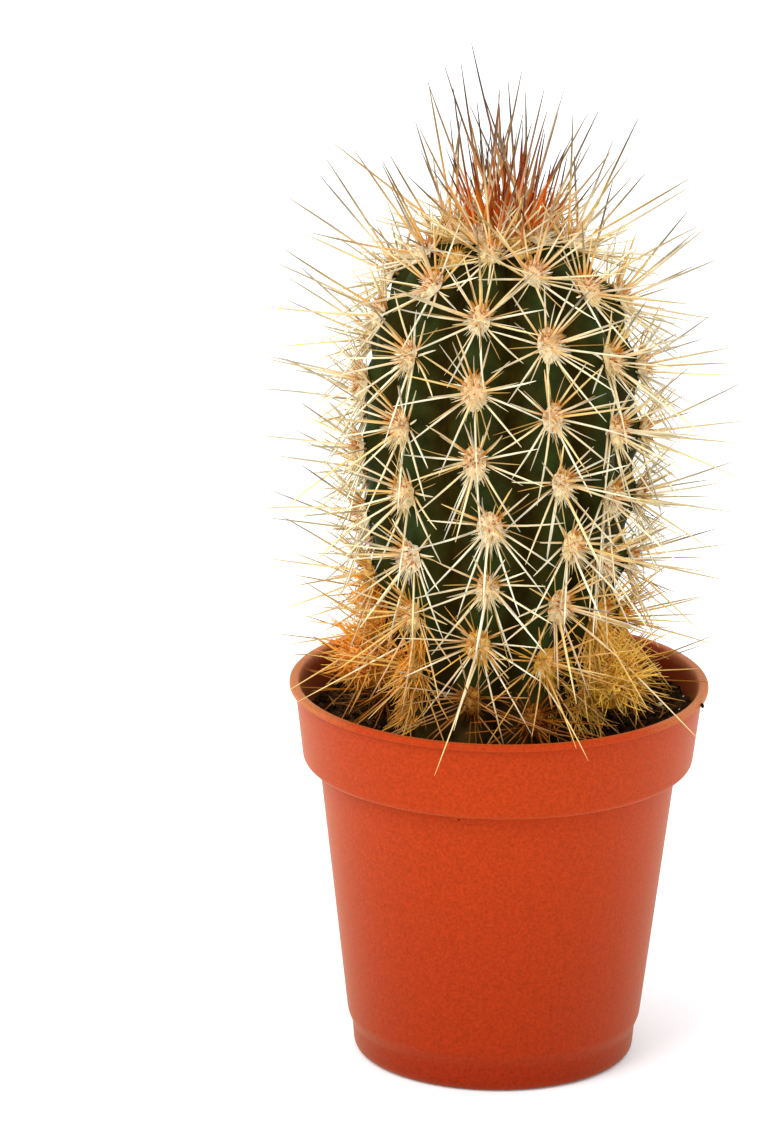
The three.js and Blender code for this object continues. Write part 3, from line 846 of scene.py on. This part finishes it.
def spines_of(areole):
    """The spines of one stem areole, where the solid has them, with thinner bristles between them."""
    draw = make_draw(areole["seed"])
    draws = default_rng(areole["seed"] + 7)
    age = {
        "young": clamp(1 - areole["s"] / YOUNG_REACH),
        "crown": clamp(1 - areole["s"] / CROWN_REACH),
        "low": clamp((LOW_FROM_Z - areole["place"][2]) / 10),
        "gilded": gilding(areole["place"]),
    }
    radius = SPINE_RADIUS * (1 - 0.2 * age["low"])
    drawn = []
    for i in range(RADIALS):
        turn = 360 * (i + 0.5) / RADIALS + RADIAL_SCATTER * (draw() - 0.5)
        down = downness(turn)
        grown = lerp(RADIAL_UP_LENGTH, RADIAL_DOWN_LENGTH, down ** 0.6) * (0.85 + 0.3 * draw())
        lift = lerp(*RADIAL_LIFTS, down) + RADIAL_SCATTER * (draw() - 0.5) + 22 * age["crown"]
        length = grown * (1 - 0.25 * age["crown"] + LOW_EXTRA_LENGTH * age["low"] * down)
        drawn.append((radial_stops(turn, age, draws), turn, lift, length, radius, ROOT_SPREAD))
    for aim in CENTRAL_TURNS:
        turn = aim + CENTRAL_SCATTER * (draw() - 0.5)
        opened = lerp(*CENTRAL_LIFTS, draw())
        lift = opened + (CROWN_LIFT - opened) * 0.6 * age["crown"]
        grown = lerp(CENTRAL_OLD_LENGTH, CENTRAL_YOUNG_LENGTH, age["young"]) * (0.75 + 0.4 * draw())
        length = lerp(grown, CROWN_LENGTH * (0.55 + 0.6 * draw()), age["crown"])
        stops = central_stops(turn, age, draws)
        drawn.append((stops, turn, lift, length, 1.15 * radius, 0.35 * ROOT_SPREAD))
    for i in range(BRISTLES):
        turn = 360 * (i + draws.random()) / BRISTLES
        length = draws.uniform(0.5, 0.95) * lerp(RADIAL_UP_LENGTH, RADIAL_DOWN_LENGTH, downness(turn))
        stops = radial_stops(turn, age, draws)
        if i % 3:
            stops = tuple(mix(mix(stop, GOLD, 0.7), BROWN, draws.uniform(0.2, 0.9)) for stop in stops)
        fine = SPINE_RADIUS * draws.uniform(0.4, 0.65)
        drawn.append((stops, turn, draws.uniform(*BRISTLE_LIFTS), length, fine, 0.9 * ROOT_SPREAD))
    golden = max(age["gilded"], 1 - float(smoothstep(areole["place"][2], *GOLDEN_Z)))
    for _ in range(round(LOW_BRISTLES * golden)):
        turn, lift = draws.uniform(0, 360), draws.uniform(5, 65)
        length = draws.uniform(2.5, 7)
        drawn.append((hay_stops(0.5, draws), turn, lift, length, 0.6 * SPINE_RADIUS, 0.6 * ROOT_SPREAD))
    return [placed_spine(areole, *settings, draws) for settings in drawn]


def hay_stops(redness, draws):
    """Golden hay colours, from straw and gold to orange, some of them browner."""
    golden = mix(HAY, STRAW, 0.35 * draws.random())
    middle = mix(golden, ORANGE, redness * draws.uniform(0.4, 1.2))
    middle = mix(middle, BROWN, 0.5 * draws.random() ** 4)
    return mix(middle, ORANGE, 0.1 + 0.8 * redness), middle, mix(middle, STRAW, 0.15)


def placed_spine(areole, stops, turn, lift, length, radius, spread, draws):
    """A spine that stands on its areole, a little away from the pad's middle."""
    fall = lerp(0.1, 0.25, sin(radians(turn)) ** 2) * spread ** 2
    root = areole["place"] + fanned(areole, turn, 0) * spread - areole["normal"] * fall
    return new_spine(root, fanned(areole, turn, lift), length, radius, stops, draws)


def young_areoles():
    """Pads that have just opened, crowded on the ribs near the tip between the full-grown ones."""
    found = []
    for rib in range(RIBS):
        for quarter in range(-3, 8):
            s = float(areole_distance(rib, quarter / 4))
            reach = 9.5 if quarter % 2 == 0 else 6.5
            if quarter % 4 == 0 or not CROWN_CLEAR - 0.5 < s < reach:
                continue
            found.append(areole_at(rib, s, 3000 + 37 * rib + quarter))
    return found


def young_spines(areole):
    """A few short golden radials and a long upright central, orange below and dark at its tip."""
    draws = default_rng(areole["seed"])
    age = {"young": 1.0, "low": 0.0, "gilded": 0.0}
    for i in range(YOUNG_RADIALS):
        turn, lift = 360 * (i + draws.random()) / YOUNG_RADIALS, draws.uniform(0, 30)
        length = draws.uniform(2.5, 4.5)
        middle = mix(mix(STRAW, GOLD, draws.random()), AMBER, 0.4 * draws.random())
        stops = (mix(middle, AMBER, draws.random()), middle, STRAW)
        yield placed_spine(areole, stops, turn, lift, length, SPINE_RADIUS, 0.6, draws)
    age["crown"] = draws.uniform(0.3, 1)
    stops = central_stops(0, age, draws)
    turn, lift = draws.uniform(0, 360), draws.uniform(60, 85)
    yield placed_spine(areole, stops, turn, lift, draws.uniform(9, 16), SPINE_RADIUS, 0.3, draws)


def tuft_spines():
    """The newest spines, which stand upright and close together on the growing tip."""
    draws = default_rng(21)
    made = []
    for _ in range(TUFT_SPINES):
        turn = draws.uniform(0, 360)
        reach = TUFT_REACH * sqrt(draws.random())
        tall = draws.random() ** 1.6 * (1 - 0.5 * reach / TUFT_REACH)
        middle_x = STEM_LEAN_X + TUFT_SHIFT_X
        root = outward(turn) * reach + np.array([middle_x, 0, STEM_TOP_Z - 0.03 * reach ** 2 - 0.3])
        lean = radians(2 + 4 * reach + draws.normal(0, 7))
        leaning = outward(turn + draws.normal(0, 30)) * sin(lean)
        direction = leaning + UP * cos(lean)
        length = lerp(*TUFT_LENGTHS, tall)
        base = mix(AMBER, RUST, 0.2 + 0.8 * draws.random())
        middle = mix(base, BLACK_TIP, 0.5 * draws.random() ** 5)
        stops = (base, middle, mix(middle, BLACK_TIP, clamp(0.6 * draws.random() + 3.5 * tall)))
        radius = SPINE_RADIUS * draws.uniform(0.8, 1.2)
        made.append(new_spine(root, direction, length, radius, stops, draws, 0.03, tip_from=0.5))
    return made


def stray_spines():
    """Long pale spines that lean out over the pot's rim."""
    draws = default_rng(33)
    made = []
    for root, tip in STRAYS:
        reach = np.array(tip) - np.array(root)
        length = np.linalg.norm(reach)
        stops = (STRAW, IVORY, STRAW)
        radius = STRAY_THINNING * SPINE_RADIUS
        made.append(new_spine(np.array(root), reach / length, length, radius, stops, draws, 0.02))
    made[CURLED_STRAY] = made[CURLED_STRAY]._replace(bend=np.array(STRAY_CURL))
    return made


def spine_mesh(name, spines, material, sides=5, rows=6):
    """All these spines in one mesh: tapering, slightly curved, each with its colours along its length."""
    fields = [np.array(field).reshape(len(spines), 1, -1) for field in zip(*spines)]
    root, direction, length, radius, bend, stops, darkening, tip_from = fields
    base, middle, tip = np.split(stops, 3, axis=-1)
    share = np.linspace(0, 1, rows)[None, :, None]
    sunk = np.where(share == 0, -SPINE_SUNK * np.minimum(1, length / 6), 0)
    centres = root + direction * (length * share + sunk) + bend * length * share ** 2
    along = unit(direction + 2 * bend * share)
    across = unit(np.cross(along, np.where(np.abs(along[..., 2:]) > 0.8, [1.0, 0, 0], [0, 0, 1.0])))
    third = np.cross(along, across)
    slim = np.clip((length - 9) / 6, 0, 1) * (1 - smoothstep(root[..., 2:], *CROWN_Z))
    thickness = radius * (1 - (0.2 + 0.25 * slim) * share - (0.55 - 0.15 * slim) * share ** 5)
    turns = np.arange(sides) * 2 * np.pi / sides
    ring = across[:, :, None] * np.cos(turns)[:, None] + third[:, :, None] * np.sin(turns)[:, None]
    points = centres[:, :, None] + ring * thickness[:, :, None]
    warm = np.clip(1 - share / 0.4, 0, 1)
    tipped = np.clip((share - tip_from) / 0.35, 0, 1)
    colours = lerp(lerp(middle, base, warm), tip, tipped)
    # Spines turn darker and browner near the soil: from low roots, and at points low inside the pot
    near_soil = 1 - smoothstep(root[..., 2:], *NEAR_SOIL_Z)
    reach = np.hypot(centres[..., :1], centres[..., 1:2])
    over_soil = 1 - smoothstep(reach, RIM_RADIUS - 7, RIM_RADIUS - 1)
    low_in_pot = 0.8 * over_soil * (1 - smoothstep(centres[..., 2:], SOIL_Z + 1, SOIL_Z + 13))
    colours = colours * lerp(1.0, np.array(NEAR_SOIL_TINT), darkening * np.maximum(near_soil, low_in_pot))
    colours = np.repeat(colours[:, :, None], sides, 2)
    ring_faces = np.array(grid_faces(rows, sides))
    starts = np.arange(len(spines)) * rows * sides
    faces = (ring_faces[None] + starts[:, None, None]).reshape(-1, 4).tolist()
    last = (rows - 1) * sides
    faces += [tuple(start + last + i for i in range(sides)) for start in starts]
    add_mesh(name, points.reshape(-1, 3), faces, material, "cactus", colours.reshape(-1, 3))


# Felt pads


def pad_tones(areole, young, draws):
    """Tones of a pad's edge and middle: cream and pink brown, golden low down, brown at the soil."""
    z = areole["place"][2]
    golden = max(gilding(areole["place"]), 1 - float(smoothstep(z, *GOLDEN_Z)))
    near_soil = 1 - float(smoothstep(z, *NEAR_SOIL_Z))
    aged = 1 - float(smoothstep(z, *PALE_Z))
    cream = mix(FELT, STRAW, 0.85 * draws.random())
    edge = mix(mix(mix(cream, GOLD, 0.7 * young), FELT_GOLD, golden), FELT_OLD, near_soil)
    middle = mix(mix(FELT_PINK, cream, max(0.5 * young, 0.5 * aged)), GOLD, 0.5 * young)
    return edge, mix(mix(middle, FELT_GOLD, 0.8 * golden), FELT_OLD, near_soil)


def offset_tones(redness):
    """Tones of the edge and middle of an offset's pads."""
    edge = mix(HAY, ORANGE, redness)
    return edge, mix(edge, STRAW, 0.25)


def pad_colours(angles, rings, tones, draws):
    """The edge's tone below and outside, the middle's tone above and inside, streaked."""
    upper = 0.5 + 0.5 * np.cos(angles)
    streaks = draws.uniform(0.75, 1.15, len(angles))
    colours = []
    for ring in range(rings):
        share = np.clip(0.8 * ring / rings + 0.35 * upper, 0, 1)
        shade = streaks * draws.uniform(0.85, 1.1, len(angles))
        colours.append(blend(*tones, share) * shade[:, None])
    colours.append(np.array([tones[1]]))
    return np.clip(np.concatenate(colours), 0, 1)


def pad_hair(areole, size, tones, draws):
    """A short felt hair that leans outward, paler on the pad's lower edge and amber on its upper one."""
    turn, out = draws.uniform(0, 360), sqrt(draws.random())
    across, along = sin(radians(turn)), cos(radians(turn))
    flat = np.array([across * PAD_ACROSS, along * PAD_ALONG]) * out
    height = PAD_HEIGHT * sqrt(1 - 0.8 * out * out) * 0.85
    root = areole["place"] + areole_axes(areole).T @ np.array([*flat, height]) * size
    lift = lerp(75, 12, out) + draws.normal(0, 10)
    length = size * draws.uniform(0.5, 1.3) * (1 + 0.6 * clamp(-along * out))
    colour = mix(*tones, clamp(0.45 + 0.55 * along * out + 0.3 * draws.normal()))
    colour = mix(colour, mix(GOLD, AMBER, 0.3 + 0.7 * draws.random()), clamp(2 * along * out))
    colour = np.array(colour) * draws.uniform(0.65, 1.1)
    direction = fanned(areole, turn, lift)
    return new_spine(root, direction, length, 0.06, 3 * (colour,), draws, 0.1)


def pad_stub(areole, size, draws):
    """The base of a short or broken spine, red brown or ivory, above the middle of a pad."""
    turn = draws.uniform(0, 360)
    middle = areole["place"] + areole["up"] * 0.3 * size
    root = middle + fanned(areole, turn, 0) * size * draws.random()
    tone = IVORY if draws.random() < 0.3 else mix(AMBER, RED_BROWN, draws.random())
    length = draws.uniform(1.2, 2.2) * size
    direction = fanned(areole, turn, draws.uniform(35, 90))
    return new_spine(root, direction, length, 0.12, 3 * (tone,), draws)


def areole_axes(areole):
    """The areole's own axes as rows: across the rib, up along it, and out of the skin."""
    return np.stack([np.cross(areole["up"], areole["normal"]), areole["up"], areole["normal"]])


def add_pads(name, areoles, material, young=0.0, size=1.0, redness=None):
    """A domed oval pad of felt on each areole. Returns the hairs and stubs that stand on the pads.

    redness is that of an offset's pads, which take their tones from it.
    """
    rings, sides = 6, 16
    angles = np.arange(sides) * 2 * np.pi / sides
    points, faces, colours, hairs = [], [], [], []
    for areole in areoles:
        draws = default_rng(areole["seed"] + 3)
        tones = pad_tones(areole, young, draws) if redness is None else offset_tones(redness)
        scale = size * draws.uniform(0.88, 1.1)
        shell = []
        for ring in range(rings):
            lift = radians(90 * ring / rings - 10)
            reach = cos(lift) * draws.uniform(0.85, 1.12, sides)
            height = np.full(sides, sin(lift))
            shell.append(np.stack([np.sin(angles) * reach, np.cos(angles) * reach, height], -1))
        shell = np.concatenate([*shell, [[0, 0, 1.0]]])
        shell *= np.array([PAD_ACROSS, PAD_ALONG, PAD_HEIGHT]) * scale
        shell += draws.normal(0, 0.06, shell.shape)
        start = len(points) * len(shell)
        points.append(shell @ areole_axes(areole) + areole["place"])
        colours.append(pad_colours(angles, rings, tones, draws))
        faces += [tuple(start + corner for corner in face[::-1]) for face in grid_faces(rings, sides)]
        top = start + rings * sides
        faces += [(top, top - sides + (i + 1) % sides, top - sides + i) for i in range(sides)]
        hairs += [pad_hair(areole, scale, tones, draws) for _ in range(PAD_HAIRS)]
        hairs += [pad_stub(areole, scale, draws) for _ in range(round(PAD_STUBS * (1 - young)))]
    add_mesh(name, np.concatenate(points), faces, material, "cactus", np.concatenate(colours))
    return hairs


# Offsets


def offset_centre(offset):
    return outward(offset["azimuth"]) * offset["out"] + UP * offset["z"]


def offset_areoles(offset, number):
    centre = offset_centre(offset)
    found = []
    for row in range(OFFSET_ROWS):
        for rib in range(OFFSET_RIBS):
            draw = make_draw(5000 + 700 * number + 41 * row + 13 * rib)
            height = radians(74 - 34 * row + 6 * (draw() - 0.5))
            out = outward(offset["azimuth"] + 360 * (rib + 0.5 * (row % 2)) / OFFSET_RIBS)
            normal = out * cos(height) + UP * sin(height)
            found.append({
                "place": centre + normal * (offset["radius"] - 0.1),
                "normal": normal,
                "up": UP * cos(height) - out * sin(height),
                "draw": draw,
                "seed": 6000 + 97 * number + 7 * row + rib,
            })
    return found


def offset_spines(areole, redness):
    """Short fine spines, where the solid has them, and shorter curved fibres that tangle between them."""
    draws = default_rng(areole["seed"])
    for i in range(OFFSET_SPINES + OFFSET_FIBRES):
        if i < OFFSET_SPINES:
            turn = 360 * (i + areole["draw"]()) / OFFSET_SPINES
            lift = 30 + 45 * areole["draw"]()
            length = OFFSET_SPINE_LENGTH * (0.6 + 0.5 * areole["draw"]())
            bend, sinking, fineness = 0.1, 0.0, 0.35
        else:
            turn, lift = draws.uniform(0, 360), draws.uniform(-15, 40)
            length = OFFSET_SPINE_LENGTH * draws.uniform(0.25, 0.65)
            bend, sinking, fineness = 0.8, 0.7, 0.5
        root = areole["place"] + fanned(areole, turn, 0) * OFFSET_ROOT_SPREAD
        direction = unit(fanned(areole, turn, lift) - sinking * UP)
        radius = SPINE_RADIUS * (fineness + 0.3 * draws.random())
        stops = hay_stops(redness, draws)
        yield new_spine(root, direction, length, radius, stops, draws, bend, HAY_DARKENING)


def column_fibres(column, seed):
    """Curved golden fibres that hang from the skin along a column, wider towards its foot."""
    draws = default_rng(seed)
    for _ in range(COLUMN_FIBRES):
        share = draws.random()
        azimuth, z = lerp(np.array(column["top"]), np.array(column["foot"]), share)
        azimuth += draws.normal(0, COLUMN_SPREAD * (0.5 + share))
        out = outward(azimuth) * draws.uniform(0.2, 1.1)
        direction = unit(out - UP + draws.normal(0, 0.35, 3))
        stops = hay_stops(column["redness"], draws)
        radius = SPINE_RADIUS * draws.uniform(0.5, 0.85)
        root, length = skin_at(azimuth, z), draws.uniform(2, 5)
        yield new_spine(root, direction, length, radius, stops, draws, 0.4, HAY_DARKENING)


def add_offset(offset, number, material):
    """A small ball with shallow ribs, felted all over and all but hidden under its spines."""
    rows, sides = 30, 84
    lift = np.radians(np.linspace(-88, 88, rows))[:, None]
    turn = np.arange(sides) * 360 / sides
    ribbed = 1 - 0.07 * (1 - np.cos(np.radians(turn - offset["azimuth"]) * OFFSET_RIBS)) * np.cos(lift)
    level = outward(turn)[None] * np.cos(lift)[..., None]
    directions = level + UP * np.sin(lift)[..., None]
    points = directions * (offset["radius"] * ribbed)[..., None] + offset_centre(offset)
    faces = grid_faces(rows, sides)
    faces.append(tuple(range(sides))[::-1])
    faces.append(tuple(range((rows - 1) * sides, rows * sides)))
    felted = mix(offset_tones(OFFSET_REDNESS[number])[0], FELT_OLD, 0.35)
    colours = np.tile(felted, (rows * sides, 1))
    add_mesh(f"offset_{number}", points.reshape(-1, 3), faces, material, "cactus", colours)


# Litter on the soil


def add_straws(material):
    """Fallen spines and fibres that lie on the soil."""
    draws = default_rng(41)
    reach = pot_inside(SOIL_Z)
    made = []
    for _ in range(STRAWS):
        radius = sqrt(draws.uniform((STEM_SOIL_RADIUS + 1) ** 2, (reach - 3.5) ** 2))
        root = outward(draws.uniform(0, 360)) * radius
        root[2] = soil_top(root[0], root[1]) + 0.45
        direction = unit(outward(draws.uniform(0, 360)) + UP * draws.uniform(-0.02, 0.12))
        length = draws.uniform(2, 5)
        tip = root + direction * length
        colour = mix(SOIL_BROWN, STRAW, draws.random() ** 1.5)
        if hypot(tip[0], tip[1]) < reach - 1:
            made.append(new_spine(root, direction, length, 0.11, 3 * (colour,), draws, 0.15))
    spine_mesh("fallen_spines", made, material, 4, 4)


# The plant


def make_cactus():
    """The stem, its offsets, pads and spines. Returns the spines' material."""
    skin = make_stem()
    felt = tinted_material("felt", 0.95, 0.05, (2500, 0.12))
    horn = tinted_material("spines", 0.5, 0.05, (700, 0.10))
    areoles = stem_areoles()
    young = young_areoles()
    hairs = add_pads("felt_pads", areoles, felt)
    hairs += add_pads("young_pads", young, felt, young=1.0, size=0.85)
    spines = [spine for areole in areoles for spine in spines_of(areole)] + stray_spines()
    offset_hairs = []
    for number, offset in enumerate(OFFSETS):
        add_offset(offset, number, skin)
        buds = offset_areoles(offset, number)
        redness = OFFSET_REDNESS[number]
        offset_hairs += add_pads(f"offset_pads_{number}", buds, felt, size=0.75, redness=redness)
        spines += [spine for areole in buds for spine in offset_spines(areole, redness)]
    for number, column in enumerate(COLUMNS):
        spines += column_fibres(column, 70 + number)
    spines = [spine for spine in map(cleared, spines) if spine]
    half = len(spines) // 2
    spine_mesh("spines_first", spines[:half], horn)
    spine_mesh("spines_second", spines[half:], horn)
    spine_mesh("crown_spines", tuft_spines() + [s for areole in young for s in young_spines(areole)], horn)
    spine_mesh("felt_hairs", hairs, felt, 3, 3)
    spine_mesh("offset_hairs", offset_hairs, felt, 3, 3)
    return horn


# Stage


def aim_camera():
    """The photograph's view: the lens axis is turned from the target so that it falls on its pixel."""
    elevation = radians(CAMERA_ELEVATION)
    back = Vector((0, -cos(elevation), sin(elevation)))
    right = Vector((1, 0, 0))
    up = back.cross(right)
    yaw, tilt = [atan((at - size / 2) / FOCAL_PIXELS) for at, size in zip(TARGET_PIXEL, IMAGE_SIZE)]
    look = Matrix((right, up, back)).transposed()
    for angle, axis in ((yaw, 1), (tilt, 0), (radians(CAMERA_ROLL), 2)):
        look = Matrix.Rotation(angle, 3, look.col[axis]) @ look
    data = bpy.data.cameras.new("camera")
    data.sensor_width = SENSOR
    data.lens = FOCAL_PIXELS * SENSOR / max(IMAGE_SIZE)
    data.clip_start = 0.05
    data.clip_end = 20
    camera = add_object("camera", data)
    camera.matrix_world = Matrix.Translation(CAMERA_TARGET + back * CAMERA_DISTANCE) @ look.to_4x4()
    bpy.context.scene.camera = camera


def add_key_light():
    data = bpy.data.lights.new("key", "AREA")
    data.energy = KEY_POWER
    data.size = KEY_SIZE
    light = add_object("key", data)
    light.location = KEY_PLACE
    light.rotation_euler = (CAMERA_TARGET - Vector(KEY_PLACE)).to_track_quat("-Z", "Y").to_euler()


def set_stage():
    """A wide white floor that shines a little, so that it stays white, and a white sky."""
    bpy.ops.mesh.primitive_plane_add(size=12)
    floor = bpy.context.object
    floor.name = "floor"
    white = (1, 1, 1, 1)
    glow = {"Emission Color": white, "Emission Strength": FLOOR_GLOW}
    inputs = {"Base Color": FLOOR_WHITE, "Roughness": 0.9, **glow}
    floor.data.materials.append(new_material("white surface", inputs))
    floor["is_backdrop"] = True
    world = bpy.data.worlds.new("studio")
    world.use_nodes = True
    set_inputs(world.node_tree.nodes["Background"], {"Color": white, "Strength": STUDIO_BRIGHTNESS})
    bpy.context.scene.world = world
    add_key_light()
    bpy.context.scene.view_settings.view_transform = "Standard"


def write_sizes():
    boxes = {"cad": CAD_BOX, "visual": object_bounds()}
    sizes = {name: [list(corner) for corner in corners] for name, corners in boxes.items()}


soil_material = tinted_material("peat", 1.0, 0.05, (1800, 0.5), (2500, 0.25))
make_pot()
make_soil(soil_material)
add_crumbs(soil_material)
add_straws(make_cactus())
aim_camera()
set_stage()
write_sizes()
